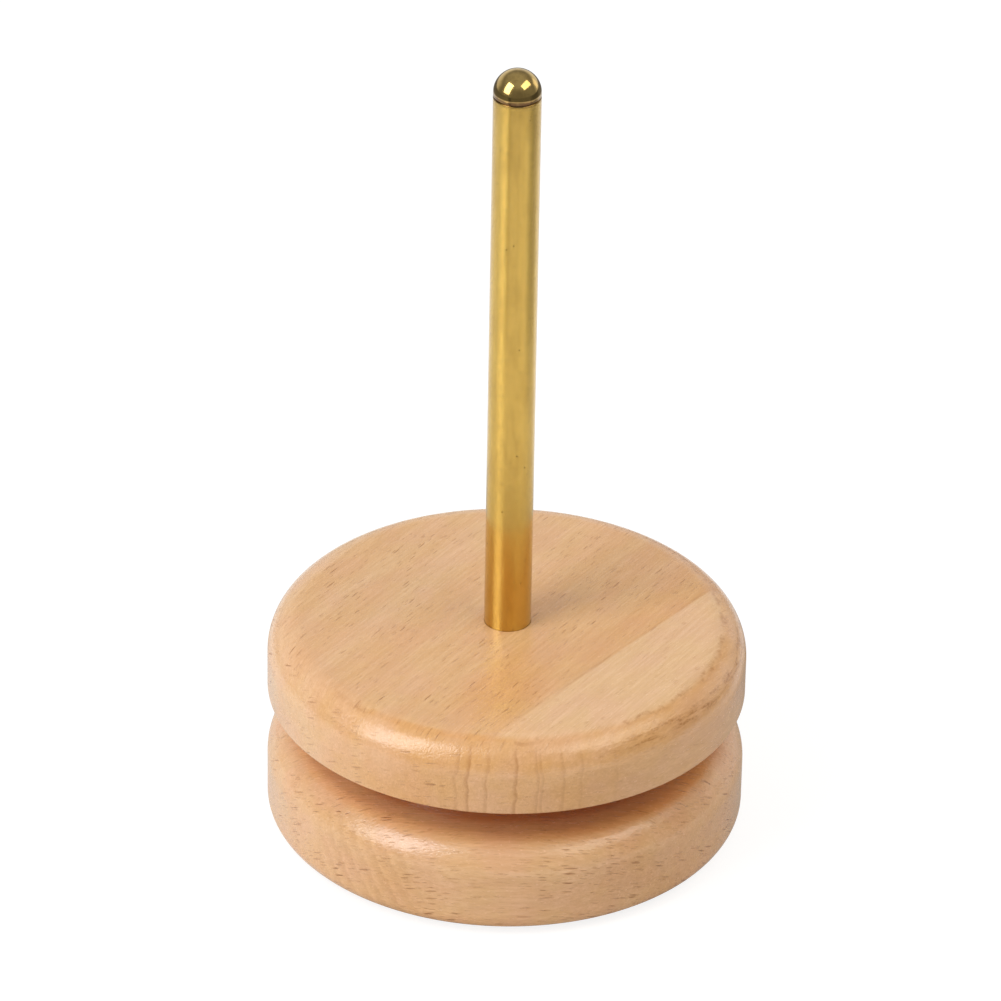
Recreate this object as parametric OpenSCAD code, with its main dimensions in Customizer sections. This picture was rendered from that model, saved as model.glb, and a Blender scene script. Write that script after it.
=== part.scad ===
// Yarn ball holder: a brass spindle on a beech turntable that turns on a beech base.
// Millimetres, +Z up, origin at the middle of the surface that the feet stand on.

/* [Discs] */
// Diameter of the base and of the turntable
disc_d = 102; // [92:1:140]
// Height of the wooden base
base_h = 20.5; // [16:0.5:32]
// Rounding of the base's upper edge
base_top_r = 7.5; // [2:0.5:8]
// Rounding of the base's lower edge
base_bottom_r = 3.5; // [1:0.5:6]
// Thickness of the turntable
turntable_h = 16; // [13:0.5:24]
// Rounding of the turntable's upper edge
turntable_top_r = 7.5; // [2:0.5:9]
// Rounding of the turntable's lower edge
turntable_bottom_r = 0.5; // [0.2:0.1:2]

/* [Spindle] */
// Outside diameter of the brass tube
spindle_d = 10; // [8:0.5:14]
// Wall of the brass tube
spindle_wall = 1; // [0.5:0.1:1.5]
// Length of the tube above the turntable
spindle_len = 125.5; // [80:0.5:200]
// Height of the dome cap's straight rim
dome_rim_h = 0.6; // [0.3:0.1:3]
// Height of the groove between the tube and the cap
dome_groove_h = 0.3; // [0.2:0.05:1]
// Depth of the groove between the tube and the cap
dome_groove_depth = 0.5; // [0.2:0.1:0.7]
// Length of the cap's spigot inside the tube
dome_spigot_len = 10; // [5:0.5:20]
// Depth that the tube is let into the turntable
tube_seat = 1.5; // [0.5:0.5:3]
// Wall of the tube where it is let in, with room for glue round it
tube_neck_wall = 0.5; // [0.3:0.1:0.5]
// Depth of the plug's socket in the turntable
socket_depth = 10; // [6:0.5:10]
// Length of the plug inside the tube
plug_grip = 15; // [8:0.5:30]

/* [Turntable bearing] */
// Height of the bearing, which sets the gap between the discs
bearing_h = 9.2; // [8:0.1:14]
// Outside diameter of the outer ring
bearing_d = 70; // [64:1:76]
// Bore of the inner ring
bearing_bore_d = 30; // [24:1:34]
// Step between the two rings, which keeps each clear of the other's disc
ring_step = 0.6; // [0.4:0.1:1]
// Diameter of one ball
ball_d = 4; // [3.4:0.1:4.4]
// Number of balls
ball_count = 16; // [8:1:20]
// Space between the two rings
race_gap = 2.4; // [2:0.1:2.8]
// Thickness of the ball cage
cage_t = 1.4; // [1:0.1:1.6]
// Height of the ball cage
cage_h = 6; // [5:0.1:6.8]

/* [Fasteners] */
// Screws in each ring
screw_count = 4; // [3:1:6]
// Diameter of a base screw
base_screw_d = 4; // [3:0.5:5]
// Depth of a base screw's seat above the underside
base_screw_seat = 6.5; // [5:0.5:8]
// Thread of a base screw inside the outer ring
base_screw_grip = 6; // [4:0.5:7]
// Diameter of a turntable screw
turntable_screw_d = 3.5; // [2.5:0.1:4]
// Depth of a turntable screw in the wood
turntable_screw_grip = 9; // [6:0.5:11]
// Diameter of the clamp screw
clamp_screw_d = 5; // [3:0.5:5]
// Thread of the clamp screw inside the plug
clamp_screw_grip = 10; // [6:0.5:14]
// Thickness of the clamp washer
clamp_washer_t = 1; // [0.5:0.1:2]

/* [Feet] */
// Number of feet
foot_count = 4; // [3:1:6]
// Diameter of a foot
foot_d = 12; // [8:0.5:14]
// Height of a foot below the wood
foot_proud = 1.2; // [0.6:0.1:3]
// Depth of a foot's recess in the wood
foot_recess = 1.2; // [0.6:0.1:3]
// Distance from the base's rim to the middle of a foot
foot_inset = 13; // [11:0.5:16]

/* [Clearances] */
// Space round a piece that is glued or screwed in
seat_clearance = 0.05; // [0.02:0.01:0.1]
// Space round a screw that passes through a piece
screw_clearance = 0.2; // [0.1:0.05:0.4]
// Space round a ball in its races and its pocket
ball_clearance = 0.1; // [0.05:0.01:0.15]
// Space left under the end of the plug
end_clearance = 0.3; // [0.1:0.1:0.6]

/* [Hidden] */
$fn = 96;
cut = 0.5;
full_turn = 360;
hex_sides = 6;

// Heights of the stack, from the standing surface up
base_z = foot_proud;
ring_z = base_z + base_h;
turntable_z = ring_z + bearing_h;
deck_z = turntable_z + turntable_h;
tube_end_z = deck_z + spindle_len;

// Bearing
ball_r = ball_d / 2;
ball_pitch_r = (bearing_d + bearing_bore_d) / 4;
ball_z = ring_z + bearing_h / 2;
race_r = ball_r + ball_clearance;
inner_ring_r = ball_pitch_r - race_gap / 2;
outer_ring_r = ball_pitch_r + race_gap / 2;
ring_h = bearing_h - ring_step;
inner_screw_r = (bearing_bore_d / 2 + ball_pitch_r - race_r) / 2;
outer_screw_r = (bearing_d / 2 + ball_pitch_r + race_r) / 2;

// Base screws: socket heads of one diameter high, with the usual proportions
base_screw_head_d = 1.75 * base_screw_d;
base_screw_head_h = base_screw_d;
base_screw_socket_d = 0.85 * base_screw_d;
base_screw_len = base_h - base_screw_seat + base_screw_grip;

// Turntable screws: countersunk heads with a cross slot
turntable_screw_head_d = 1.9 * turntable_screw_d;
turntable_screw_head_h = (turntable_screw_head_d - turntable_screw_d) / 2;
turntable_screw_point = turntable_screw_d;
turntable_screw_slot_w = 0.25 * turntable_screw_d;
turntable_screw_slot_depth = 0.7 * turntable_screw_head_h;

// Clamp screw: a low head with a bevelled rim
clamp_head_d = 1.9 * clamp_screw_d;
clamp_head_h = 0.55 * clamp_screw_d;
clamp_head_bevel = 0.3 * clamp_head_h;
clamp_socket_d = 0.7 * clamp_screw_d;
clamp_socket_depth = 0.6 * clamp_head_h;
clamp_washer_d = 2 * clamp_screw_d;
clamp_web = turntable_h - socket_depth;

// Spindle
tube_bore_d = spindle_d - 2 * spindle_wall;
plug_d = tube_bore_d - 2 * seat_clearance;
plug_z = deck_z - socket_depth + end_clearance;
plug_len = socket_depth - end_clearance + plug_grip;
plug_thread_len = clamp_screw_grip + end_clearance;
dome_r = spindle_d / 2;
dome_base_z = dome_groove_h + dome_rim_h;

// Feet
foot_ring_r = disc_d / 2 - foot_inset;
foot_turn = full_turn / (2 * foot_count);

// Colours
beech = [0.87, 0.69, 0.50];
beech_pale = [0.89, 0.72, 0.54];
brass_satin = [0.80, 0.64, 0.33];
brass_bright = [0.72, 0.57, 0.28];
aluminium = [0.80, 0.81, 0.82];
steel = [0.62, 0.63, 0.65];
nylon = [0.93, 0.92, 0.88];
rubber = [0.13, 0.13, 0.14];

// A solid disc on the XY plane with both edges rounded
module rounded_disc(d, h, top_r, bottom_r) {
    rotate_extrude() {
        square([d / 2 - top_r, h]);
        square([d / 2 - bottom_r, h - top_r]);
        translate([0, bottom_r]) square([d / 2, h - top_r - bottom_r]);
        translate([d / 2 - top_r, h - top_r]) circle(top_r);
        translate([d / 2 - bottom_r, bottom_r]) circle(bottom_r);
    }
}

// A plain ring on the XY plane
module ring(outer_d, inner_d, h) {
    difference() {
        cylinder(d = outer_d, h = h);
        translate([0, 0, -cut]) cylinder(d = inner_d, h = h + 2 * cut);
    }
}

// Copies of a child round the axis, the first one at angle start
module around(count, radius, start = 0) {
    for (i = [0:count - 1])
        rotate([0, 0, start + i * full_turn / count])
            translate([radius, 0, 0]) children();
}

// The groove that the balls run in
module race() {
    translate([0, 0, ball_z]) rotate_extrude() translate([ball_pitch_r, 0]) circle(race_r);
}

// Space for one base screw: clearance through the wood and a seat for the head
module base_screw_hole() {
    translate([0, 0, base_z - cut]) {
        cylinder(d = base_screw_d + 2 * screw_clearance, h = base_h + 2 * cut);
        cylinder(d = base_screw_head_d + 2 * screw_clearance, h = base_screw_seat + cut);
    }
}

module base_disc() {
    color(beech) difference() {
        translate([0, 0, base_z]) rounded_disc(disc_d, base_h, base_top_r, base_bottom_r);
        around(screw_count, outer_screw_r) base_screw_hole();
        around(foot_count, foot_ring_r, foot_turn)
            translate([0, 0, base_z - cut]) cylinder(d = foot_d + 2 * seat_clearance, h = foot_recess + cut);
    }
}

module turntable_disc() {
    color(beech_pale) difference() {
        translate([0, 0, turntable_z])
            rounded_disc(disc_d, turntable_h, turntable_top_r, turntable_bottom_r);
        translate([0, 0, deck_z - socket_depth])
            cylinder(d = plug_d + 2 * seat_clearance, h = socket_depth + cut);
        translate([0, 0, deck_z - tube_seat])
            cylinder(d = spindle_d + 2 * seat_clearance, h = tube_seat + cut);
        translate([0, 0, turntable_z - cut])
            cylinder(d = clamp_screw_d + 2 * screw_clearance, h = turntable_h);
        around(screw_count, inner_screw_r) translate([0, 0, turntable_z - cut])
            cylinder(d = turntable_screw_d + 2 * seat_clearance, h = turntable_screw_grip + seat_clearance + cut);
    }
}

module spindle_tube() {
    color(brass_satin) translate([0, 0, deck_z]) {
        ring(spindle_d, tube_bore_d, spindle_len);
        translate([0, 0, -tube_seat]) ring(tube_bore_d + 2 * tube_neck_wall, tube_bore_d, tube_seat);
    }
}

module dome_cap() {
    color(brass_bright) translate([0, 0, tube_end_z]) {
        translate([0, 0, -dome_spigot_len]) cylinder(d = plug_d, h = dome_spigot_len);
        cylinder(r = dome_r - dome_groove_depth, h = dome_groove_h);
        translate([0, 0, dome_groove_h]) cylinder(r = dome_r, h = dome_rim_h);
        translate([0, 0, dome_base_z]) rotate_extrude() intersection() {
            circle(dome_r);
            square(dome_r);
        }
    }
}

module thread_plug() {
    color(brass_bright) translate([0, 0, plug_z]) difference() {
        cylinder(d = plug_d, h = plug_len);
        translate([0, 0, -cut]) cylinder(d = clamp_screw_d + 2 * seat_clearance, h = plug_thread_len + cut);
    }
}

module clamp_washer() {
    color(steel) translate([0, 0, turntable_z - clamp_washer_t])
        ring(clamp_washer_d, clamp_screw_d + 2 * screw_clearance, clamp_washer_t);
}

module clamp_screw() {
    shank_len = clamp_washer_t + clamp_web + end_clearance + clamp_screw_grip;
    color(steel) translate([0, 0, turntable_z - clamp_washer_t]) difference() {
        union() {
            cylinder(d = clamp_screw_d, h = shank_len);
            translate([0, 0, clamp_head_bevel - clamp_head_h])
                cylinder(d = clamp_head_d, h = clamp_head_h - clamp_head_bevel);
            translate([0, 0, -clamp_head_h])
                cylinder(d1 = clamp_head_d - 2 * clamp_head_bevel, d2 = clamp_head_d, h = clamp_head_bevel);
        }
        translate([0, 0, -clamp_head_h - cut])
            cylinder(d = clamp_socket_d, h = clamp_socket_depth + cut, $fn = hex_sides);
    }
}

module bearing_outer_ring() {
    color(aluminium) difference() {
        translate([0, 0, ring_z]) ring(bearing_d, 2 * outer_ring_r, ring_h);
        race();
        around(screw_count, outer_screw_r) translate([0, 0, ring_z - cut])
            cylinder(d = base_screw_d + 2 * seat_clearance, h = ring_h + 2 * cut);
    }
}

module bearing_inner_ring() {
    ring_low_z = ring_z + ring_step;
    sink_d = turntable_screw_head_d + 2 * screw_clearance;
    hole_d = turntable_screw_d + 2 * screw_clearance;
    color(aluminium) difference() {
        translate([0, 0, ring_low_z]) ring(2 * inner_ring_r, bearing_bore_d, ring_h);
        race();
        around(screw_count, inner_screw_r) translate([0, 0, ring_low_z]) {
            translate([0, 0, -cut]) cylinder(d = hole_d, h = ring_h + 2 * cut);
            translate([0, 0, -cut]) cylinder(d = sink_d, h = cut);
            cylinder(d1 = sink_d, d2 = hole_d, h = turntable_screw_head_h);
        }
    }
}

module ball_cage() {
    pocket_r = ball_r + ball_clearance;
    color(nylon) translate([0, 0, ball_z]) difference() {
        translate([0, 0, -cage_h / 2]) ring(2 * ball_pitch_r + cage_t, 2 * ball_pitch_r - cage_t, cage_h);
        around(ball_count, ball_pitch_r)
            rotate([0, 90, 0]) cylinder(r = pocket_r, h = race_gap, center = true);
    }
}

module bearing_ball(i) {
    color(steel) rotate([0, 0, (i - 1) * full_turn / ball_count])
        translate([ball_pitch_r, 0, ball_z]) sphere(ball_r);
}

module base_screws() {
    color(steel) around(screw_count, outer_screw_r)
        translate([0, 0, base_z + base_screw_seat]) difference() {
            union() {
                cylinder(d = base_screw_d, h = base_screw_len);
                translate([0, 0, -base_screw_head_h]) cylinder(d = base_screw_head_d, h = base_screw_head_h);
            }
            translate([0, 0, -base_screw_head_h - cut])
                cylinder(d = base_screw_socket_d, h = base_screw_head_h / 2 + cut, $fn = hex_sides);
        }
}

module turntable_screws() {
    straight_len = ring_h + turntable_screw_grip - turntable_screw_head_h - turntable_screw_point;
    color(steel) around(screw_count, inner_screw_r)
        translate([0, 0, ring_z + ring_step]) difference() {
            union() {
                cylinder(d1 = turntable_screw_head_d, d2 = turntable_screw_d, h = turntable_screw_head_h);
                translate([0, 0, turntable_screw_head_h]) cylinder(d = turntable_screw_d, h = straight_len);
                translate([0, 0, turntable_screw_head_h + straight_len])
                    cylinder(d1 = turntable_screw_d, d2 = turntable_screw_slot_w, h = turntable_screw_point);
            }
            for (a = [0, 90])
                rotate([0, 0, a])
                    cube([turntable_screw_d, turntable_screw_slot_w, 2 * turntable_screw_slot_depth], center = true);
        }
}

module foot(i) {
    color(rubber) rotate([0, 0, foot_turn + (i - 1) * full_turn / foot_count])
        translate([foot_ring_r, 0, 0]) cylinder(d = foot_d, h = foot_proud + foot_recess);
}

base_disc();
turntable_disc();
spindle_tube();
dome_cap();
thread_plug();
clamp_screw();
clamp_washer();
bearing_outer_ring();
bearing_inner_ring();
ball_cage();
for (i = [1:ball_count])
    bearing_ball(i);
base_screws();
turntable_screws();
for (i = [1:foot_count])
    foot(i);
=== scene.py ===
import logging
import math
from collections.abc import Callable, Iterable, Mapping, Sequence
from dataclasses import dataclass, field
from enum import Enum
from functools import reduce
from operator import mul, or_

import bmesh
import bpy
from mathutils import Color, Matrix, Vector


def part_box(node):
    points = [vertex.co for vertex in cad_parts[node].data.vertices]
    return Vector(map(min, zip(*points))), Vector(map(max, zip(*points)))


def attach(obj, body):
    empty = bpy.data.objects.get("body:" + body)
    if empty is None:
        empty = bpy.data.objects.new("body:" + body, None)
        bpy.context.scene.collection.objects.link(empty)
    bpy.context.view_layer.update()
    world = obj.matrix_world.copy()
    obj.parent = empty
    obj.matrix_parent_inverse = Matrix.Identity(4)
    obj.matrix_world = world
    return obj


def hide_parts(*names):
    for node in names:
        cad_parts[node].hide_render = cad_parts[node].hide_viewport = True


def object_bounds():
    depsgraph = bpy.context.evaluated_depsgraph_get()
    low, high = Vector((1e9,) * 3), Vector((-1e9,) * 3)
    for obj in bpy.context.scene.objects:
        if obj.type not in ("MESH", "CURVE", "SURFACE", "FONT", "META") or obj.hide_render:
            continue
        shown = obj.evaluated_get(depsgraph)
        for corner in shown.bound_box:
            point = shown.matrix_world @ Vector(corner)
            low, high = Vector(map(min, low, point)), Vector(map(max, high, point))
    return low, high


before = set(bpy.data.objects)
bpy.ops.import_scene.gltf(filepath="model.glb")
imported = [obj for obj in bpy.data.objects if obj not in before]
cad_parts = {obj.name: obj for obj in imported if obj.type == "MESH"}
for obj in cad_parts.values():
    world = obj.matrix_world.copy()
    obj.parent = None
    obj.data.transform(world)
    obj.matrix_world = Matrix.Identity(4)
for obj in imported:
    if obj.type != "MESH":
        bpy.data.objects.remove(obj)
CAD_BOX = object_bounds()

LOG = logging.getLogger("yarn_ball_holder")
MM = 0.001
FRAME_PX = 1001
FULL_CHANNEL = 255

Colour = tuple[float, float, float, float]
Triple = tuple[float, float, float]
Point = tuple[float, float]


class Body(str, Enum):
    """The rigid bodies that the rebuilt pieces ride on."""

    BASE = "base"
    TURNTABLE = "turntable"


class Slot(str, Enum):
    """The record's material slots of the rebuilt pieces."""

    BEECH_BASE = "beech_base"
    BEECH_TURNTABLE = "beech_turntable"
    BRASS_SATIN = "brass_satin"
    BRASS_POLISHED = "brass_polished"
    RUBBER = "foot_rubber"


def linear(red: int, green: int, blue: int) -> Colour:
    """A display colour, 0 to 255 a channel, as the linear colour that a shader takes."""
    shown = Color([channel / FULL_CHANNEL for channel in (red, green, blue)])
    return (*shown.from_srgb_to_scene_linear(), 1.0)


# Meshes


@dataclass
class Outline:
    """Half of a turned outline: points of radius and height, followed in one direction."""

    points: list[Point] = field(default_factory=list)

    def to(self, radius: float, height: float) -> "Outline":
        """Adds a corner and returns the outline."""
        self.points.append((radius, height))
        return self

    def arc(self, centre: Point, radius: float, start: float, end: float, steps: int) -> "Outline":
        """Adds an arc with both its ends.

        Args:
            centre: Radius and height of the arc's centre.
            radius: Radius of the arc.
            start: First angle in degrees, from outward towards up.
            end: Last angle in degrees.
            steps: Number of straight stretches.

        Returns:
            The outline.
        """
        for i in range(steps + 1):
            angle = math.radians(start + (end - start) * i / steps)
            self.to(centre[0] + radius * math.cos(angle), centre[1] + radius * math.sin(angle))
        return self


Ring = list[bmesh.types.BMVert]


class Blank:
    """A mesh that a turned or drilled piece is built up in."""

    HOLE_SIDES = 48
    SHARP = math.radians(32)
    SAME = 1e-7

    def __init__(self, sides: int) -> None:
        """Starts an empty mesh whose turned rings have this many sides."""
        self.sides = sides
        self.mesh = bmesh.new()

    def ring(self, radius: float, height: float, at: Point = (0.0, 0.0), sides: int = 0) -> Ring:
        """A ring of vertices.

        Args:
            radius: Radius of the ring; none gives one vertex.
            height: Height of the ring.
            at: Place of the ring's middle.
            sides: Number of vertices, or 0 for the blank's own.

        Returns:
            The vertices in order.
        """
        count = 1 if radius < self.SAME else sides or self.sides
        turn = 2 * math.pi / count
        places = ((radius * math.cos(turn * i), radius * math.sin(turn * i)) for i in range(count))
        return [self.mesh.verts.new((at[0] + x, at[1] + y, height)) for x, y in places]

    def band(self, first: Ring, second: Ring) -> None:
        """Faces between two rings, or between a ring and a point.

        Args:
            first: Vertices of one ring.
            second: Vertices of the next ring.
        """
        for i in range(max(len(first), len(second))):
            corners = [first[i % len(first)], first[(i + 1) % len(first)]]
            corners += [second[(i + 1) % len(second)], second[i % len(second)]]
            self.mesh.faces.new(list(dict.fromkeys(corners)))

    def turn(self, points: Sequence[Point], closed: bool = False) -> list[Ring]:
        """Turns an outline about the axis.

        Args:
            points: Radius and height of each point.
            closed: Whether the last point joins the first.

        Returns:
            The rings, one for each point.
        """
        rings = [self.ring(radius, height) for radius, height in points]
        for first, second in zip(rings, rings[1:] + rings[:1] if closed else rings[1:]):
            self.band(first, second)
        return rings

    def plate(self, rims: Iterable[Ring]) -> None:
        """Fills the flat face inside the first rim and outside the others.

        Args:
            rims: Rings of vertices that all lie in one plane.
        """
        edges = []
        for rim in rims:
            for pair in zip(rim, rim[1:] + rim[:1]):
                edges.append(self.mesh.edges.get(pair) or self.mesh.edges.new(pair))
        bmesh.ops.triangle_fill(self.mesh, use_beauty=True, edges=edges)

    def bore(self, at: Point, steps: Sequence[Point], blind: bool) -> tuple[Ring, Ring]:
        """Adds the walls of a stepped hole.

        Args:
            at: Place of the hole's axis.
            steps: Radius and height of each edge, from the mouth inwards.
            blind: Whether the last edge has a floor.

        Returns:
            The vertices of its first and of its last edge.
        """
        edges = [self.ring(radius, height, at, self.HOLE_SIDES) for radius, height in steps]
        for first, second in zip(edges, edges[1:]):
            self.band(first, second)
        if blind:
            self.mesh.faces.new(edges[-1])
        return edges[0], edges[-1]

    def finish(self, name: str, body: Body, material: bpy.types.Material, replaced: str) -> None:
        """Turns the mesh into a piece that rides on a body.

        Args:
            name: Name of the piece.
            body: Body that it rides on.
            material: Its material.
            replaced: CAD node that it stands for.
        """
        bmesh.ops.recalc_face_normals(self.mesh, faces=self.mesh.faces)
        data = bpy.data.meshes.new(name)
        self.mesh.to_mesh(data)
        self.mesh.free()
        data.shade_smooth()
        data.set_sharp_from_angle(angle=self.SHARP)
        data.materials.append(material)
        piece = bpy.data.objects.new(name, data)
        bpy.context.scene.collection.objects.link(piece)
        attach(piece, body.value)
        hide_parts(replaced)
        LOG.info("%s: %d faces, rides on %s", name, len(data.polygons), body.value)


def crosswise(reach: float) -> list[Point]:
    """Four places at this distance from the axis, a quarter turn apart."""
    return [(reach, 0.0), (0.0, reach), (-reach, 0.0), (0.0, -reach)]


def dress(nodes: Iterable[str], material: bpy.types.Material) -> None:
    """Gives CAD nodes a finish in place of their packed one.

    Args:
        nodes: Names of the nodes.
        material: The finish.
    """
    for name in nodes:
        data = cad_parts[name].data
        data.materials.clear()
        data.materials.append(material)
        LOG.info("%s: dressed in %s", name, material.name)


# Shader graphs


class Mixed(Enum):
    """What a Mix node mixes: its data type, then the numbers of its two inputs and of its result."""

    VALUE = ("FLOAT", 2, 3, 0)
    VECTOR = ("VECTOR", 4, 5, 1)
    COLOUR = ("RGBA", 6, 7, 2)


class Kind(str, Enum):
    """What a socket of a shader group carries."""

    COLOUR = "NodeSocketColor"
    VALUE = "NodeSocketFloat"
    VECTOR = "NodeSocketVector"


def titled(values: object) -> dict[str, object]:
    """An object's values by the names that sockets have: line_size becomes Line Size."""
    return {name.replace("_", " ").title(): value for name, value in vars(values).items()}


@dataclass(frozen=True)
class Ramp:
    """A smooth step: the values that it runs between, and its results there."""

    from_min: "Value"
    from_max: "Value"
    to_min: float = 0.0
    to_max: float = 1.0


@dataclass(frozen=True)
class Noise:
    """Smooth noise: its grains' size along each axis, its finer layers and the ramp that spreads it."""

    size: "Triple | Wire"
    detail: float = 2.0
    rough: float = 0.5
    spread: Ramp | None = None


def node_operator(operation: str) -> Callable[..., "Wire"]:
    """An operator on wires that adds a Math node."""
    return lambda wire, *others: wire.graph.math(operation, wire, *others)


class Wire:
    """A node's output, which plain arithmetic carries on with further nodes."""

    SMOOTH = {"interpolation_type": "SMOOTHSTEP", "clamp": True}

    # The bar gives the larger of two values, and the comparison gives 1 where it holds and 0 elsewhere
    __add__ = node_operator("ADD")
    __sub__ = node_operator("SUBTRACT")
    __mul__ = node_operator("MULTIPLY")
    __truediv__ = node_operator("DIVIDE")
    __pow__ = node_operator("POWER")
    __abs__ = node_operator("ABSOLUTE")
    __gt__ = node_operator("GREATER_THAN")
    __or__ = node_operator("MAXIMUM")

    def __init__(self, graph: "Graph", socket: bpy.types.NodeSocket) -> None:
        """Takes the graph and the node's socket."""
        self.graph = graph
        self.socket = socket

    def __rsub__(self, other: float) -> "Wire":
        """A number less the value."""
        return self.graph.math("SUBTRACT", other, self)

    def step(self, *ramps: Ramp) -> "Wire":
        """The value taken through a smooth step, or the product of several such steps."""
        inputs = ({"Value": self, **titled(ramp)} for ramp in ramps)
        return reduce(mul, (self.graph.add("ShaderNodeMapRange", each, **self.SMOOTH)[0] for each in inputs))

    def parts(self) -> list["Wire"]:
        """The three parts of a vector."""
        parts = self.graph.add("ShaderNodeSeparateXYZ", {0: self})
        return [parts[axis] for axis in "XYZ"]


Value = float | Wire


class Graph:
    """A node tree that is filled in step by step."""

    MIDDLE = 0.5

    def __init__(self, tree: bpy.types.NodeTree) -> None:
        """Empties the tree that is to be filled."""
        self.tree = tree
        tree.nodes.clear()

    def add(self, kind: str, inputs: Mapping | None = None, **settings: object) -> dict[int | str, Wire]:
        """Adds a node.

        Args:
            kind: Blender's name for the kind of node.
            inputs: Values or wires for its inputs, by name or number.
            settings: Attributes of the node.

        Returns:
            The node's outputs, by number and by name.
        """
        node = self.tree.nodes.new(kind)
        for name, value in settings.items():
            setattr(node, name, value)
        for key, value in (inputs or {}).items():
            if isinstance(value, Wire):
                self.tree.links.new(value.socket, node.inputs[key])
            else:
                node.inputs[key].default_value = value
        outputs = {}
        for number, socket in enumerate(node.outputs):
            outputs[number] = Wire(self, socket)
            outputs.setdefault(socket.name, outputs[number])
        return outputs

    def math(self, operation: str, first: Value, second: Value = 0.0) -> Wire:
        """The result of a Math node."""
        return self.add("ShaderNodeMath", {0: first, 1: second}, operation=operation)[0]

    def mix(self, share: Value, first: object, second: object, mixed: Mixed = Mixed.COLOUR,
            **settings: str) -> Wire:
        """A colour, vector or value between two others.

        Args:
            share: Share of the second.
            first: The one.
            second: The other.
            mixed: What is mixed.
            settings: Other attributes of the Mix node.

        Returns:
            The mixture.
        """
        data_type, one, other, result = mixed.value
        inputs = {0: share, one: first, other: second}
        return self.add("ShaderNodeMix", inputs, data_type=data_type, **settings)[result]

    def tint(self, share: Value, colour: Wire, tint: object) -> Wire:
        """A colour with a share of a tint laid on it."""
        return self.mix(share, colour, tint, blend_type="MULTIPLY")

    def join(self, x: Value, y: Value, z: Value = 0.0) -> Wire:
        """A vector of three parts."""
        return self.add("ShaderNodeCombineXYZ", {0: x, 1: y, 2: z})[0]

    def vectors(self, operation: str, *values: object) -> Wire:
        """The vector that a Vector Math node gives."""
        return self.add("ShaderNodeVectorMath", dict(enumerate(values)), operation=operation)["Vector"]

    def length(self, vector: Wire) -> Wire:
        """The length of a vector."""
        return self.add("ShaderNodeVectorMath", {0: vector}, operation="LENGTH")["Value"]

    def noise(self, vector: Wire, noise: Noise) -> Wire:
        """Smooth noise.

        Args:
            vector: Place in the noise.
            noise: Its grains and its spread.

        Returns:
            The noise, from 0 to 1 unless its ramp says otherwise.
        """
        inputs = {"Scale": 1.0, "Detail": noise.detail, "Roughness": noise.rough}
        inputs["Vector"] = self.vectors("DIVIDE", vector, noise.size)
        value = self.add("ShaderNodeTexNoise", inputs)["Fac"]
        return value.step(noise.spread) if noise.spread else value

    def cells(self, vector: Wire) -> tuple[Wire, Wire, Wire]:
        """Scattered points, one to a cell of the vector's unit.

        Args:
            vector: Place in the pattern.

        Returns:
            The distance to the nearest point and two random values of that point.
        """
        found = self.add("ShaderNodeTexVoronoi", {"Vector": vector, "Scale": 1.0})
        chances = self.add("ShaderNodeSeparateColor", {0: found["Color"]})
        return found["Distance"], chances["Red"], chances["Green"]

    def spots(self, vector: Wire, size: Triple, edge: Ramp, chance: Ramp) -> Wire:
        """Scattered spots with this edge, in those cells of this size that have the chance."""
        distance, random, _ = self.cells(self.vectors("DIVIDE", vector, size))
        return distance.step(edge) * random.step(chance)


class ShaderGroup(Graph):
    """A shader node group that several finishes place with their own values."""

    NAME = ""
    INPUTS: Mapping[Kind, Sequence[str]] = {}
    OUTPUTS: Mapping[Kind, Sequence[str]] = {Kind.COLOUR: ("Colour",), Kind.VALUE: ("Roughness", "Height")}

    def __init__(self, tree: bpy.types.NodeTree) -> None:
        """Takes the group's tree and adds the node of its inputs."""
        super().__init__(tree)
        self.entry = self.tree.nodes.new("NodeGroupInput")

    def given(self, name: str) -> Wire:
        """The group's input of this name."""
        return Wire(self, self.entry.outputs[name])

    def wire(self) -> dict[str, Wire]:
        """Fills in the group's nodes.

        Returns:
            The wires that feed the group's outputs.
        """
        raise NotImplementedError

    @classmethod
    def group(cls) -> bpy.types.NodeTree:
        """The group's node tree, built the first time that it is asked for.

        Returns:
            The node tree.
        """
        if cls.NAME in bpy.data.node_groups:
            return bpy.data.node_groups[cls.NAME]
        tree = bpy.data.node_groups.new(cls.NAME, "ShaderNodeTree")
        for way, sockets in (("INPUT", cls.INPUTS), ("OUTPUT", cls.OUTPUTS)):
            for kind, names in sockets.items():
                for name in names:
                    tree.interface.new_socket(name=name, in_out=way, socket_type=kind.value)
        graph = cls(tree)
        graph.add("NodeGroupOutput", graph.wire())
        return tree

    @classmethod
    def place(cls, graph: Graph, inputs: Mapping[str, object]) -> Mapping[str, Wire]:
        """Places the group in a material with these inputs, and returns its outputs."""
        return graph.add("ShaderNodeGroup", inputs, node_tree=cls.group())


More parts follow.
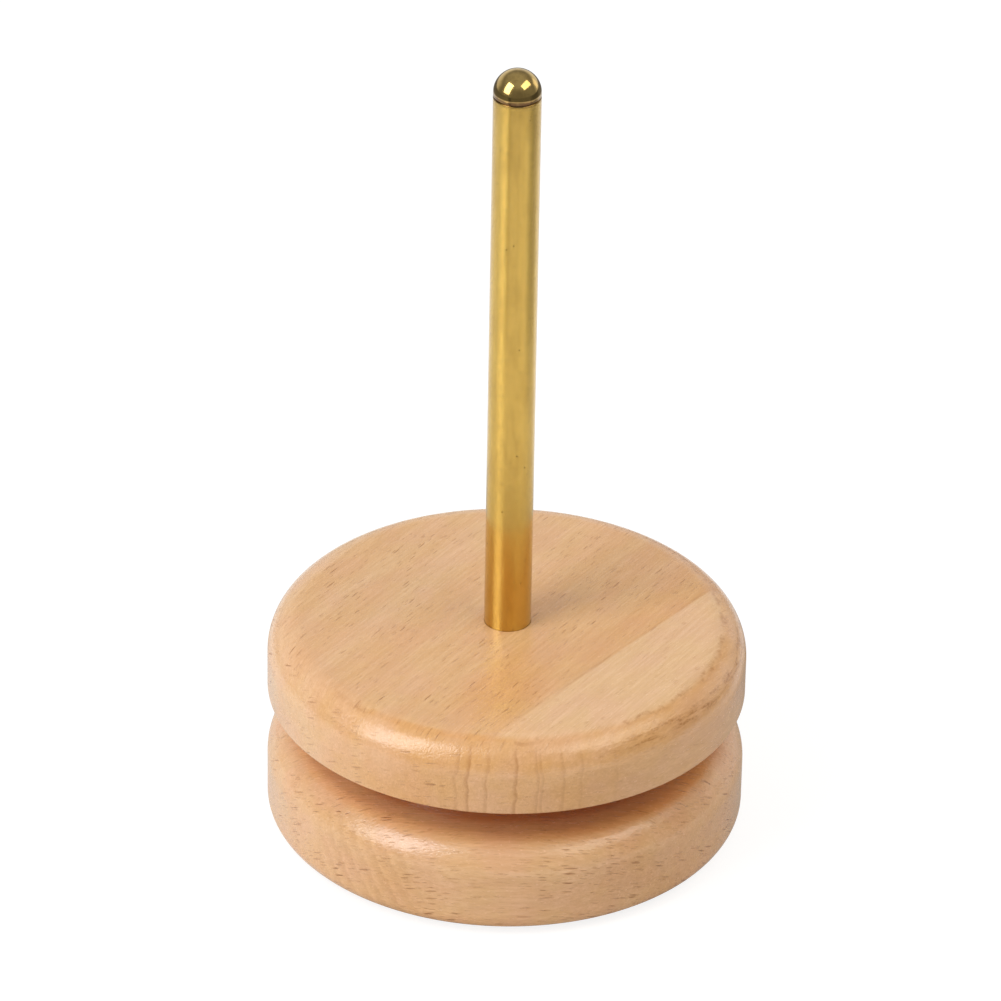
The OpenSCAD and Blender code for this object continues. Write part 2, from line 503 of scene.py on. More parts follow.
class BeechFigure(ShaderGroup):
    """Beech in the round: two boards, growth lines on the side, ray flecks, fibres, torn grain on the rim,
    and painted shade on the rim and on a deck under another piece.

    Places and sizes are in millimetres. A face's upward part is 1 where it looks up and 0 on the side.
    """

    NAME = "beech_figure"
    INPUTS = {
        Kind.VECTOR: ("Point", "Grain", "Side", "Facing"),
        Kind.COLOUR: ("Pale", "Warm", "Board", "Line", "Fleck", "Rim", "Shaded", "Covered"),
        Kind.VALUE: ("Pale Edge", "Warm Edge", "Board Edge", "Front", "Line Strength", "Ripple Strength",
                     "Fleck Share", "Fleck Strength", "Fleck Length", "Sheen", "Rim Edge", "Cover Radius"),
    }
    DISC_RADIUS = CAD_BOX[1][0] / MM
    SIDE_ONLY = Ramp(0.6, 0.92, 1, 0)
    TOP_ONLY = Ramp(0.95, 0.99)
    STREAK = Noise((9, 1.3, 1.3))
    RIPPLE = Noise((3.4, 3.4, 3), 1)

    # Boards
    BOARD_SOFTNESS = Ramp(-36, 4, 2.6, 0.4)
    BOARD_STEP = Ramp(-1, 1)
    BOARD_FACING = Ramp(0.88, 0.98, 0.25, 0.9)
    TONE = Noise((90, 9, 16), 3, spread=Ramp(0.32, 0.68))
    TONE_SHARE = 0.5
    MOTTLE = Noise((11, 7, 7), spread=Ramp(0.35, 0.65))
    PINK = (1.0, 0.975, 0.985, 1.0)
    YELLOW = (1.0, 1.005, 0.94, 1.0)
    JOINT_PLACE = 0.3
    JOINT_WIDTH = Ramp(0.05, 0.7, 1, 0)
    JOINT_STREAK = Ramp(0.4, 0.7, 0, 0.35)

    # Growth lines: place round the rim and strength of each
    GROWTH_LINES = (
        (-9.8, 0.55), (-7.3, 1.0), (-3.6, 0.7), (2.4, 1.0), (6.7, 0.6), (7.7, 0.5), (12.3, 0.45),
        (16.2, 0.35), (24.0, 0.2),
    )
    WANDER = Noise((16, 16, 9), 1)
    WANDER_MM = 2.0
    RIPPLE_MM = 1.2
    LINE_RISE = Ramp(-1.4, 0)
    LINE_POWER = 2.5
    LINE_END = (0.05, 0.35)
    HOOK_HEIGHT = 46.0
    HOOK_RIPPLE = 0.8
    HOOK_WIDTH = Ramp(0.1, 0.35, 0.8, 0)
    HOOK_PLACE = (Ramp(1.6, 2.6), Ramp(3, 9, 1, 0))
    HOOK_FACING = Ramp(0.3, 0.5)
    HATCH_SLANT = 0.6
    HATCH_SPACING = 3.8
    HATCH_WAVE = (Ramp(0, 0.75), Ramp(0.8, 1, 1, 0))
    HATCH_MIDDLE = -31.0
    HATCH_REACH = Ramp(6.8, 17, 1, 0)

    # Ray flecks
    FLAT = 0.75
    WOBBLE = Noise((5, 2, 2))
    WOBBLE_MM = 0.9
    BOLD_WIDTH = 0.54
    FINE_WIDTH = 0.40
    FINE_LENGTH = 0.6
    FINE_SHARE = 2.0
    FINE_DEPTH = 0.6
    DASH_SHRINK = (1.4, 0.85)
    DASH_EDGE = Ramp(0.2, 0.35, 1, 0)
    DASH_DEPTH = Ramp(0, 1, 0.45, 1)
    GROUPS = Noise((16, 9, 9), spread=Ramp(0.38, 0.58, 0.4, 1))
    FEW_IN_BOARD = Ramp(0, 1, 1, 0.35)
    SMUDGE = ((3.4, 2.4, 1.4), Ramp(0.05, 0.3, 1, 0), Ramp(0.6, 0.95))
    SMUDGE_DEPTH = 0.35

    # Fibres and relief
    FIBRE = Noise((13, 0.5, 0.5), 4, 0.65)
    FIBRE_SPREAD = Ramp(0.3, 0.7)
    FIBRE_STREAK = Ramp(0.3, 0.7, 0.3, 0.95)
    FIBRE_DEPTH = 0.42
    PORE = Noise((1.1, 0.42, 0.42), 1)
    PORE_SHADE = 0.5
    PORE_DULL = 0.16
    PORE_DEPTH = 0.45
    DEEP = (0.865, 0.815, 0.725, 1.0)
    WHITE = (1.0, 1.0, 1.0, 1.0)
    FLECK_DULL = 0.10
    FLECK_DEPTH = 0.35
    WAVE = Noise((12, 9, 6), 1)
    WAVE_DEPTH = 3.0

    # Rim: painted shade on the side and rounding, strongest at the rounding's inner edge, an amber patch on
    # the deck, and torn grain
    WORN_SIDE = Ramp(-17, 17)
    RIM = (Ramp(0.9, 0.99, 1, 0), Ramp(-0.02, 0.15, 0.5, 0.75))
    RIM_INNER = (Ramp(0.88, 0.93), Ramp(0.955, 0.99, 0.7, 0))
    RIM_INNER_END = Ramp(-6, 8, 1, 0)
    RIM_MOTTLE = Noise((11, 7, 7), 3, spread=Ramp(0.3, 0.7, 0.4, 1.2))
    AMBER_PLACE = (-22.0, -16.0, 0.0)
    AMBER_SIZE = (22.0, 11.0, 1.0)
    AMBER_EDGE = Ramp(0.2, 1, 0.6, 0)
    TORN_INNER = (Ramp(0.86, 0.92), Ramp(0.95, 0.985, 0.8, 0))
    TORN_OUTER = (Ramp(0.3, 0.5), Ramp(0.6, 0.82, 1, 0))
    TORN_PLACE = Ramp(18, 34)
    TORN = Noise((5, 0.8, 1), 3, spread=Ramp(0.42, 0.62))
    TORN_GRAIN = Noise((0.9, 0.4, 1), spread=Ramp(0.35, 0.65, 0.25, 0.8))

    # Painted shade on the deck that the turntable overhangs: a lighter tint at the overhang's edge, stronger
    # on the right, and a deep tint further in
    COVER_FACING = Ramp(0.5, 0.8)
    COVER_EDGE = Ramp(-0.2, 0.9)
    COVER_SIDE = Ramp(-20, 30, 0.3, 1)
    COVER_DEEP = Ramp(4.6, 8.6)

    def __init__(self, tree: bpy.types.NodeTree) -> None:
        """Takes the group's tree and works out where a point lies and which way its face looks."""
        super().__init__(tree)
        self.grain = self.given("Grain")
        self.x, self.y, self.z = self.given("Point").parts()
        self.flat = self.join(self.x, self.y)
        self.upward = self.given("Facing").parts()[2]
        self.on_side = abs(self.upward).step(self.SIDE_ONLY)
        angle = self.math("ARCTAN2", self.y, self.x) - self.given("Front")
        self.along = angle * self.DISC_RADIUS
        self.streaks = self.noise(self.grain, self.STREAK)
        self.ripple = self.noise(self.given("Point"), self.RIPPLE) - self.MIDDLE

    def boards(self) -> tuple[Wire, Wire, Wire]:
        """The tone of the two boards and the joint between them.

        Returns:
            Colour of the wood, 1 on the paler board, and strength of the joint's line.
        """
        into_board = self.given("Board Edge") - self.y
        in_board = (into_board / self.x.step(self.BOARD_SOFTNESS)).step(self.BOARD_STEP)
        drift = self.y.step(Ramp(self.given("Pale Edge"), self.given("Warm Edge")))
        tone = (self.noise(self.grain, self.TONE) + drift) * self.TONE_SHARE
        colour = self.mix(tone, self.given("Pale"), self.given("Warm"))
        colour = self.mix(in_board * self.upward.step(self.BOARD_FACING), colour, self.given("Board"))
        mottle = self.mix(self.noise(self.grain, self.MOTTLE), self.PINK, self.YELLOW)
        joint = abs(into_board + self.JOINT_PLACE).step(self.JOINT_WIDTH)
        joint *= self.streaks.step(self.JOINT_STREAK) * self.upward.step(self.TOP_ONLY)
        return self.tint(1.0, colour, mottle), in_board, joint

    def growth_lines(self) -> Wire:
        """Wavy growth lines on the side, dark towards one sharp edge, the boldest hooked over the rim.

        Returns:
            Strength of the lines.
        """
        wander = self.noise(self.given("Point"), self.WANDER) - self.MIDDLE
        place = self.along + wander * self.WANDER_MM + self.ripple * self.RIPPLE_MM
        lines = []
        for where, strength in self.GROWTH_LINES:
            past = place - where
            fall = past.step(Ramp(*self.LINE_END, strength, 0.0))
            lines.append(past.step(self.LINE_RISE) ** self.LINE_POWER * fall)
        level = self.z - self.HOOK_HEIGHT + self.ripple * self.HOOK_RIPPLE
        hook = abs(level).step(self.HOOK_WIDTH) * place.step(*self.HOOK_PLACE)
        hook *= self.upward.step(self.HOOK_FACING)
        return (reduce(or_, lines) * self.on_side | hook) * self.given("Line Strength")

    def hatch(self) -> Wire:
        """Faint slanted ripples on a stretch of the side.

        Returns:
            Strength of the ripples.
        """
        place = self.along + self.z * self.HATCH_SLANT + self.ripple * self.WANDER_MM
        phase = self.math("FRACT", place / self.HATCH_SPACING)
        reach = abs(self.along - self.HATCH_MIDDLE).step(self.HATCH_REACH)
        return phase.step(*self.HATCH_WAVE) * reach * self.on_side * self.given("Ripple Strength")

    def dashes(self, flat: Wire, length: Wire, width: float, share: Wire) -> Wire:
        """Scattered dashes, along the grain on faces that look up or down and level on the others.

        Args:
            flat: Place in the wood for faces that look up or down.
            length: Length of a dash's cell.
            width: Width of a dash's cell.
            share: Share of the cells that have a dash.

        Returns:
            Depth of the dash, 0 away from it.
        """
        on_flat = self.vectors("DIVIDE", flat, self.join(length, width, length))
        on_side = self.vectors("DIVIDE", self.given("Side"), self.join(length, length, width))
        place = self.mix(abs(self.upward) > self.FLAT, on_side, on_flat, Mixed.VECTOR)
        distance, chance, other = self.cells(place)
        fewer = 1.0 - share
        size = chance.step(Ramp(fewer, 1.0, *self.DASH_SHRINK))
        return (distance * size).step(self.DASH_EDGE) * other.step(self.DASH_DEPTH) * (chance > fewer)

    def flecks(self, in_board: Wire) -> Wire:
        """Ray flecks in loose groups, few of them on the paler board, which has small smudges.

        Args:
            in_board: 1 on the paler board.

        Returns:
            Strength of the flecks.
        """
        sway = (self.noise(self.grain, self.WOBBLE) - self.MIDDLE) * self.WOBBLE_MM
        swayed = self.vectors("ADD", self.grain, self.join(0.0, sway))
        share, length = self.given("Fleck Share"), self.given("Fleck Length")
        bold = self.dashes(swayed, length, self.BOLD_WIDTH, share)
        fine = self.dashes(swayed, length * self.FINE_LENGTH, self.FINE_WIDTH, share * self.FINE_SHARE)
        groups = self.noise(self.grain, self.GROUPS) * in_board.step(self.FEW_IN_BOARD)
        smudge = self.spots(swayed, *self.SMUDGE) * in_board * self.SMUDGE_DEPTH
        return (bold | fine * self.FINE_DEPTH) * groups | smudge

    def worn_rim(self, colour: Wire) -> Wire:
        """Lays painted shade in amber on the side and the rounding, strongest near the rounding's inner
        edge, and the same amber on a patch of the deck, with torn grain on the right of the rounding.

        Args:
            colour: Colour of the wood.

        Returns:
            The colour with the painted rim shade, the amber patch and the torn grain laid over it.
        """
        rim_side = (self.given("Rim Edge") - self.y).step(self.WORN_SIDE)
        rim = self.upward.step(*self.RIM_INNER) * self.along.step(self.RIM_INNER_END)
        rim = (rim + self.upward.step(*self.RIM)) * self.noise(self.grain, self.RIM_MOTTLE)
        spot = self.vectors("SUBTRACT", self.flat, self.AMBER_PLACE)
        apart = self.length(self.vectors("DIVIDE", spot, self.AMBER_SIZE))
        amber = apart.step(self.AMBER_EDGE) * self.upward.step(self.TOP_ONLY)
        # Painted shade: the rim tint darkens the side, the rounding and an amber patch of the deck, on one
        # side of the disc
        colour = self.tint((rim + amber) * rim_side, colour, self.given("Rim"))
        strip = self.join(self.along, self.z)
        torn = self.upward.step(*self.TORN_INNER) | self.upward.step(*self.TORN_OUTER)
        torn *= self.noise(strip, self.TORN) * self.noise(strip, self.TORN_GRAIN)
        return self.mix(torn * self.along.step(self.TORN_PLACE) * rim_side, colour, self.given("Line"))

    def covered_deck(self, colour: Wire) -> Wire:
        """Lays painted shade on the deck that the turntable overhangs, deepest well inside the shade radius.

        Args:
            colour: Colour of the wood.

        Returns:
            The colour with the deeper tone laid over it.
        """
        inside = self.given("Cover Radius") - self.length(self.flat)
        deck = self.upward.step(self.COVER_FACING)
        # Painted shade at the edge of the overhang, stronger on the right than on the left
        rim = inside.step(self.COVER_EDGE) * self.x.step(self.COVER_SIDE) * deck
        colour = self.tint(rim, colour, self.given("Shaded"))
        # Deep painted shade further under the overhang
        return self.tint(inside.step(self.COVER_DEEP) * deck, colour, self.given("Covered"))

    def wire(self) -> dict[str, Wire]:
        """Fills in the nodes of the beech.

        Returns:
            Colour, roughness and height.
        """
        colour, in_board, joint = self.boards()
        colour = self.mix(joint | self.growth_lines() | self.hatch(), colour, self.given("Line"))
        dark = self.flecks(in_board)
        colour = self.mix(dark * self.given("Fleck Strength"), colour, self.given("Fleck"))
        fibre, pore = self.noise(self.grain, self.FIBRE), self.noise(self.grain, self.PORE)
        streak = fibre.step(self.FIBRE_SPREAD) * self.streaks.step(self.FIBRE_STREAK)
        shade = self.mix(streak + pore * self.PORE_SHADE, self.DEEP, self.WHITE)
        # Lays the painted shade of the rim and of the deck under the turntable over the wood
        colour = self.covered_deck(self.worn_rim(self.tint(1.0, colour, shade)))
        dull = self.given("Sheen") + pore * self.PORE_DULL + dark * self.FLECK_DULL
        height = fibre * self.FIBRE_DEPTH + pore * self.PORE_DEPTH - dark * self.FLECK_DEPTH
        height += self.noise(self.grain, self.WAVE) * self.WAVE_DEPTH
        return {"Colour": colour, "Roughness": dull, "Height": height}


class MetalMarks(ShaderGroup):
    """Worked metal: fine lines along one axis, cloudy dulling, small specks, scuffs and a stained joint."""

    NAME = "metal_marks"
    INPUTS = {
        Kind.VECTOR: ("Point", "Line Size"),
        Kind.COLOUR: ("Metal", "Dull", "Speck"),
        Kind.VALUE: ("Polish", "Line Depth", "Speck Strength", "Cloud Strength", "Joint", "Joint Reach"),
    }
    LINE_DETAIL = (3.0, 0.65)
    LINE_DULL = Ramp(0.35, 0.75, 0, 0.3)
    CLOUD = Noise((3, 3, 9), 4, 0.6, Ramp(0.35, 0.68))
    CLOUD_DULL = 0.07
    SPECK = ((1.5, 1.5, 1.9), Ramp(0.056, 0.14, 1, 0), Ramp(0.55, 0.9))
    SPECK_DULL = 0.2
    SCUFF = ((1.8, 1.8, 0.45), Ramp(0.1, 0.3, 1, 0), Ramp(0.8, 0.95))
    SCUFF_DEPTH = 0.5
    STAIN_EDGE = Ramp(0, 0.8)
    STAIN_CLOUD = 0.4
    STAIN_LEAST = 0.5

    def wire(self) -> dict[str, Wire]:
        """Fills in the nodes of the metal.

        Returns:
            Colour, roughness and height.
        """
        point, strength, depth = (self.given(name) for name in ("Point", "Speck Strength", "Line Depth"))
        lines = self.noise(point, Noise(self.given("Line Size"), *self.LINE_DETAIL))
        cloud = self.noise(point, self.CLOUD)
        speck = self.spots(point, *self.SPECK)
        scuff = self.spots(point, *self.SCUFF) * strength * self.SCUFF_DEPTH
        near = 1.0 - abs(point.parts()[2] - self.given("Joint")) / self.given("Joint Reach")
        stain = near.step(self.STAIN_EDGE) * (cloud * self.STAIN_CLOUD + self.STAIN_LEAST)

        colour = self.mix(cloud * self.given("Cloud Strength"), self.given("Metal"), self.given("Dull"))
        colour = self.mix(lines.step(self.LINE_DULL), colour, self.given("Dull"))
        colour = self.mix(scuff, colour, self.given("Speck"))
        colour = self.mix(speck * strength | stain, colour, self.given("Speck"))
        dull = self.given("Polish") + (lines - self.MIDDLE) * depth
        dull += cloud * self.CLOUD_DULL + speck * self.SPECK_DULL
        return {"Colour": colour, "Roughness": dull, "Height": lines * depth - speck}


class PolishMarks(ShaderGroup):
    """Marks of a polish round the axis: too fine to see, they spread a reflection up and down."""

    NAME = "polish_marks"
    INPUTS = {Kind.VECTOR: ("Point", "Normal"), Kind.VALUE: ("Reach",)}
    OUTPUTS = {Kind.VECTOR: ("Normal",)}
    BOTH_WAYS = 2.0
    STEEPNESS = 4.0
    ASIDE = 0.1

    def wire(self) -> dict[str, Wire]:
        """Fills in the nodes of the polish.

        Returns:
            The spread normal.
        """
        noise = self.add("ShaderNodeTexWhiteNoise", {"Vector": self.given("Point")})["Color"]
        chances = self.add("ShaderNodeSeparateColor", {0: noise})
        x, y, z = (chances[name] * self.BOTH_WAYS - 1.0 for name in ("Red", "Green", "Blue"))
        slant = z * abs(z) ** self.STEEPNESS * self.given("Reach")
        lift = self.join(x * self.ASIDE, y * self.ASIDE, slant)
        return {"Normal": self.vectors("NORMALIZE", self.vectors("ADD", self.given("Normal"), lift))}


class MouldedGrain(ShaderGroup):
    """Moulded rubber or nylon: a fine pebbled skin, flow clouds and dust in the hollows."""

    NAME = "moulded_grain"
    INPUTS = {
        Kind.VECTOR: ("Point",),
        Kind.COLOUR: ("Plain", "Dusty"),
        Kind.VALUE: ("Pebble Size", "Matt"),
    }
    PEBBLE_DETAIL = (2.0, 0.6)
    PEBBLE_DULL = 0.15
    CLOUD = Noise((3, 3, 3), 3, spread=Ramp(0.4, 0.75))
    HOLLOW = Ramp(0.35, 0.6, 1, 0.3)

    def wire(self) -> dict[str, Wire]:
        """Fills in the nodes of the moulded skin.

        Returns:
            Colour, roughness and height.
        """
        point, size = self.given("Point"), self.given("Pebble Size")
        pebble = self.noise(point, Noise(self.join(size, size, size), *self.PEBBLE_DETAIL))
        dust = self.noise(point, self.CLOUD) * pebble.step(self.HOLLOW)
        colour = self.mix(dust, self.given("Plain"), self.given("Dusty"))
        dull = self.given("Matt") + pebble * self.PEBBLE_DULL
        return {"Colour": colour, "Roughness": dull, "Height": pebble}


# Finishes


class Surface(Graph):
    """A material that is filled in step by step."""

    def __init__(self, name: str) -> None:
        """Makes an empty material of this name."""
        self.material = bpy.data.materials.new(name)
        self.material.use_nodes = True
        super().__init__(self.material.node_tree)
        self.places = self.add("ShaderNodeTexCoord")

    def point(self, turn: Triple = (0.0, 0.0, 0.0)) -> Wire:
        """The piece's own coordinates in millimetres, turned by these angles in degrees."""
        angles = [math.radians(angle) for angle in turn]
        inputs = {"Vector": self.places["Object"], "Rotation": angles, "Scale": (1 / MM, 1 / MM, 1 / MM)}
        return self.add("ShaderNodeMapping", inputs, vector_type="POINT")[0]


@dataclass(frozen=True, kw_only=True)
class Finish:
    """A finish: its material's name, how far its polish spreads reflections, and its shader's constants.

    Each kind of finish adds fields for the inputs of its shader group, and the relief's strength and depth.
    """

    name: str
    polish_reach: float = 0.0

    GROUP = ShaderGroup
    RELIEF = (0.0, 0.0)
    SHADER = {"IOR": 1.5}

    def constants(self) -> dict[str, float]:
        """Values set on the shader's own sockets."""
        return self.SHADER

    def places(self, surface: Surface) -> dict[str, Value]:
        """The shader group's inputs that say where a point lies."""
        return {"Point": surface.point()}

    def material(self) -> bpy.types.Material:
        """Builds the material: the shader group, the relief, the polish and the shader.

        Returns:
            The material.
        """
        surface = Surface(self.name)
        values = titled(self) | self.places(surface)
        inputs = {name: values[name] for names in self.GROUP.INPUTS.values() for name in names}
        dressed = self.GROUP.place(surface, inputs)
        strength, depth = self.RELIEF
        relief = {"Height": dressed["Height"], "Strength": strength, "Distance": depth * MM}
        normal = surface.add("ShaderNodeBump", relief)[0]
        if self.polish_reach:
            marks = {"Point": surface.point(), "Normal": normal, "Reach": self.polish_reach}
            normal = PolishMarks.place(surface, marks)["Normal"]
        linked = {"Base Color": dressed["Colour"], "Roughness": dressed["Roughness"], "Normal": normal}
        shader = surface.add("ShaderNodeBsdfPrincipled", {**self.constants(), **linked})[0]
        surface.add("ShaderNodeOutputMaterial", {"Surface": shader})
        return surface.material


@dataclass(frozen=True, kw_only=True)
class BeechFinish(Finish):
    """Lacquered beech, cut from the board in its own way."""

    board_turn: float
    grain_turn: float
    side_tilt: float
    front: float
    pale_edge: float
    warm_edge: float
    board_edge: float
    line_strength: float
    ripple_strength: float
    fleck_share: float
    fleck_strength: float
    fleck_length: float
    rim_edge: float
    cover_radius: float
    sheen: float = 0.16
    pale: Colour = (0.93, 0.59, 0.338, 1.0)
    warm: Colour = (0.88, 0.495, 0.23, 1.0)
    board: Colour = (0.95, 0.62, 0.368, 1.0)
    line: Colour = (0.46, 0.18, 0.04, 1.0)
    fleck: Colour = (0.38, 0.12, 0.002, 1.0)
    # Tint of the painted shade on the side and rounding, also laid on an amber patch of the deck
    rim: Colour = (0.95, 0.84, 0.64, 1.0)
    # Painted shade on the deck under the turntable: the shaded tint at the overhang's edge, the deep tint
    # further in
    shaded: Colour = (0.92, 0.82, 0.70, 1.0)
    covered: Colour = (0.80, 0.52, 0.26, 1.0)

    GROUP = BeechFigure
    RELIEF = (0.8, 0.16)
    SHADER = {"Coat Weight": 0.16, "Coat Roughness": 0.2, "IOR": 1.5, "Specular IOR Level": 0.95}

    def places(self, surface: Surface) -> dict[str, Value]:
        """The inputs that say where a point lies in the board and in the disc."""
        turns = {"Point": (0.0, 0.0, self.board_turn), "Grain": (0.0, 0.0, self.grain_turn)}
        turns["Side"] = (self.side_tilt, 0.0, 0.0)
        fixed = {"Facing": surface.places["Normal"], "Front": math.radians(self.front)}
        return fixed | {name: surface.point(turn) for name, turn in turns.items()}


@dataclass(frozen=True, kw_only=True)
class MetalFinish(Finish):
    """Worked metal with its own lines, marks and polish."""

    metal: Colour
    dull: Colour
    speck: Colour
    line_size: Triple
    polish: float
    line_depth: float
    speck_strength: float
    cloud_strength: float = 0.5
    coat: float = 0.0
    joint: float = -1000.0
    joint_reach: float = 1.0

    GROUP = MetalMarks
    RELIEF = (0.15, 0.02)
    SHADER = {"Metallic": 1.0, "Coat Roughness": 0.12}

    def constants(self) -> dict[str, float]:
        """Values set on the shader's own sockets, with the finish's own coat."""
        return {**self.SHADER, "Coat Weight": self.coat}


@dataclass(frozen=True, kw_only=True)
class MouldedFinish(Finish):
    """Moulded rubber or nylon."""

    plain: Colour
    dusty: Colour
    pebble_size: float
    matt: float

    GROUP = MouldedGrain
    RELIEF = (0.4, 0.04)


EVERYWHERE = 200.0
NOWHERE = -EVERYWHERE
CAP_JOINT = 172.7
TURNTABLE_BEECH = BeechFinish(
    name="beech_turntable", board_turn=-52.0, grain_turn=-57.0, side_tilt=28.0, front=-142.0, pale_edge=25.0,
    warm_edge=-26.0, board_edge=-26.0, line_strength=0.40, ripple_strength=0.0, fleck_share=0.26,
    fleck_strength=0.65, fleck_length=5.0, rim_edge=5.0, cover_radius=NOWHERE,
)
BASE_BEECH = BeechFinish(
    name="beech_base", board_turn=0.0, grain_turn=0.0, side_tilt=32.0, front=-90.0, pale_edge=EVERYWHERE,
    warm_edge=NOWHERE, board_edge=NOWHERE, line_strength=0.0, ripple_strength=0.16, fleck_share=0.34,
    # The radius of the painted shade on the deck under the turntable
    fleck_strength=0.85, fleck_length=4.8, rim_edge=NOWHERE, cover_radius=46.8,
    pale=(0.93, 0.59, 0.342, 1.0), warm=(0.89, 0.505, 0.243, 1.0),
)
SATIN_BRASS = MetalFinish(
    name="brass_satin", metal=(0.735, 0.485, 0.105, 1.0), dull=(0.615, 0.388, 0.078, 1.0),
    speck=linear(92, 60, 22), line_size=(0.25, 0.25, 60.0), polish=0.12, line_depth=0.06,
    speck_strength=0.85, coat=0.4, polish_reach=0.95, joint=CAP_JOINT, joint_reach=0.9,
)
POLISHED_BRASS = MetalFinish(
    name="brass_polished", metal=(0.80, 0.55, 0.165, 1.0), dull=(0.48, 0.31, 0.08, 1.0),
    speck=linear(96, 54, 16), line_size=(0.8, 0.8, 0.8), polish=0.09, line_depth=0.05,
    speck_strength=0.3, cloud_strength=0.8, coat=0.8, joint=CAP_JOINT, joint_reach=1.3,
)
TURNED_ALUMINIUM = MetalFinish(
    name="bearing_aluminium", metal=linear(214, 215, 217), dull=linear(190, 191, 193),
    speck=linear(120, 120, 122), line_size=(40.0, 40.0, 0.12), polish=0.3, line_depth=0.16,
    speck_strength=0.3, cloud_strength=0.1,
)
BALL_STEEL = MetalFinish(
    name="ball_steel", metal=linear(208, 209, 212), dull=linear(196, 197, 200), speck=linear(120, 120, 124),
    line_size=(1.0, 1.0, 1.0), polish=0.08, line_depth=0.04, speck_strength=0.2,
)
ZINC_STEEL = MetalFinish(
    name="zinc_steel", metal=linear(190, 194, 198), dull=linear(164, 167, 170), speck=linear(98, 96, 92),
    line_size=(0.6, 0.6, 0.6), polish=0.3, line_depth=0.1, speck_strength=0.4,
)
CAGE_NYLON = MouldedFinish(
    name="cage_nylon", plain=linear(236, 233, 222), dusty=linear(216, 212, 200), pebble_size=0.35, matt=0.42,
)
FOOT_RUBBER = MouldedFinish(
    name="foot_rubber", plain=linear(34, 34, 36), dusty=linear(62, 60, 58), pebble_size=0.3, matt=0.62,
)


# Sub-assemblies


@dataclass
class BaseAssembly:
    """The beech base with the feet let into it and the screws that hold the bearing."""

    top_r: float = 7.5 * MM
    bottom_r: float = 3.5 * MM
    support: float = 0.4 * MM
    sides: int = 288
    arc_steps: int = 28
    foot_count: int = 4
    foot_seat: float = 0.05 * MM
    foot_edge: float = 0.5 * MM
    foot_rib: float = 0.35 * MM
    foot_grooves: Point = (0.66, 0.36)
    foot_sides: int = 64
    foot_arc_steps: int = 8
    screw_seat: float = 0.2 * MM
    screw_r: float = 2.0 * MM
    screw_head_r: float = 3.5 * MM
    screw_head_h: float = 4.0 * MM

    def __post_init__(self) -> None:
        """Reads the place of the base and names the feet."""
        self.low, self.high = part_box("base_disc")
        self.feet = [f"foot_{i}" for i in range(1, self.foot_count + 1)]

    def build(self) -> None:
        """Builds the base and the feet, and dresses the screws."""
        self.build_disc()
        rubber = FOOT_RUBBER.material()
        for name in self.feet:
            self.build_foot(name, rubber)
        dress(["base_screws"], ZINC_STEEL.material())

    def feet_bores(self, blank: Blank) -> list[Ring]:
        """Bores the recess of each foot.

        Args:
            blank: The disc's mesh.

        Returns:
            The mouths.
        """
        mouths = []
        for name in self.feet:
            low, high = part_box(name)
            middle = (low + high) / 2
            radius = (high.x - low.x) / 2 + self.foot_seat
            steps = [(radius, self.low.z), (radius, high.z)]
            mouths.append(blank.bore((middle.x, middle.y), steps, True)[0])
        return mouths

    def screw_bores(self, blank: Blank) -> list[tuple[Ring, Ring]]:
        """Bores the stepped hole of each screw.

        Args:
            blank: The disc's mesh.

        Returns:
            The lower and upper mouth of each.
        """
        low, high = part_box("base_screws")
        head = self.screw_head_r + self.screw_seat
        shank = self.screw_r + self.screw_seat
        seat = low.z + self.screw_head_h
        steps = [(head, self.low.z), (head, seat), (shank, seat), (shank, self.high.z)]
        return [blank.bore(at, steps, False) for at in crosswise(high.x - self.screw_head_r)]

    def build_disc(self) -> None:
        """Builds the beech disc with its recesses."""
        blank = Blank(self.sides)
        radius, low, high = self.high.x, self.low.z, self.high.z
        outline = Outline().to(radius - self.bottom_r - self.support, low)
        outline.arc((radius - self.bottom_r, low + self.bottom_r), self.bottom_r, -90, 0, self.arc_steps)
        outline.arc((radius - self.top_r, high - self.top_r), self.top_r, 0, 90, self.arc_steps)
        outline.to(radius - self.top_r - self.support, high)
        rings = blank.turn(outline.points)
        screws = self.screw_bores(blank)
        blank.plate([rings[0], *self.feet_bores(blank), *(mouth for mouth, _ in screws)])
        blank.plate([rings[-1], *(end for _, end in screws)])
        blank.finish("base_block", Body.BASE, BASE_BEECH.material(), "base_disc")

    def build_foot(self, name: str, rubber: bpy.types.Material) -> None:
        """Builds one foot with a rounded edge and ribs on its sole.

        Args:
            name: The CAD node that it replaces.
            rubber: The finish.
        """
        low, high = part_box(name)
        middle = (low + high) / 2
        radius = (high.x - low.x) / 2
        edge, rib = self.foot_edge, self.foot_rib
        outline = Outline().to(0.0, high.z).to(radius, high.z)
        outline.arc((radius - edge, low.z + edge), edge, 0, -90, self.foot_arc_steps)
        for share in self.foot_grooves:
            groove = share * radius
            outline.to(groove + rib, low.z).to(groove, low.z + rib).to(groove - rib, low.z)
        outline.to(0.0, low.z)
        blank = Blank(self.foot_sides)
        blank.turn(outline.points)
        bmesh.ops.translate(blank.mesh, verts=blank.mesh.verts, vec=(middle.x, middle.y, 0.0))
        blank.finish(f"{name}_pad", Body.BASE, rubber, name)


@dataclass
class Bearing:
    """The turntable bearing: two aluminium rings with a cage of steel balls between them."""

    ball_count: int = 16

    def build(self) -> None:
        """Dresses the bearing's pieces."""
        dress(["bearing_outer_ring", "bearing_inner_ring"], TURNED_ALUMINIUM.material())
        dress(["ball_cage"], CAGE_NYLON.material())
        dress([f"bearing_ball_{i}" for i in range(1, self.ball_count + 1)], BALL_STEEL.material())


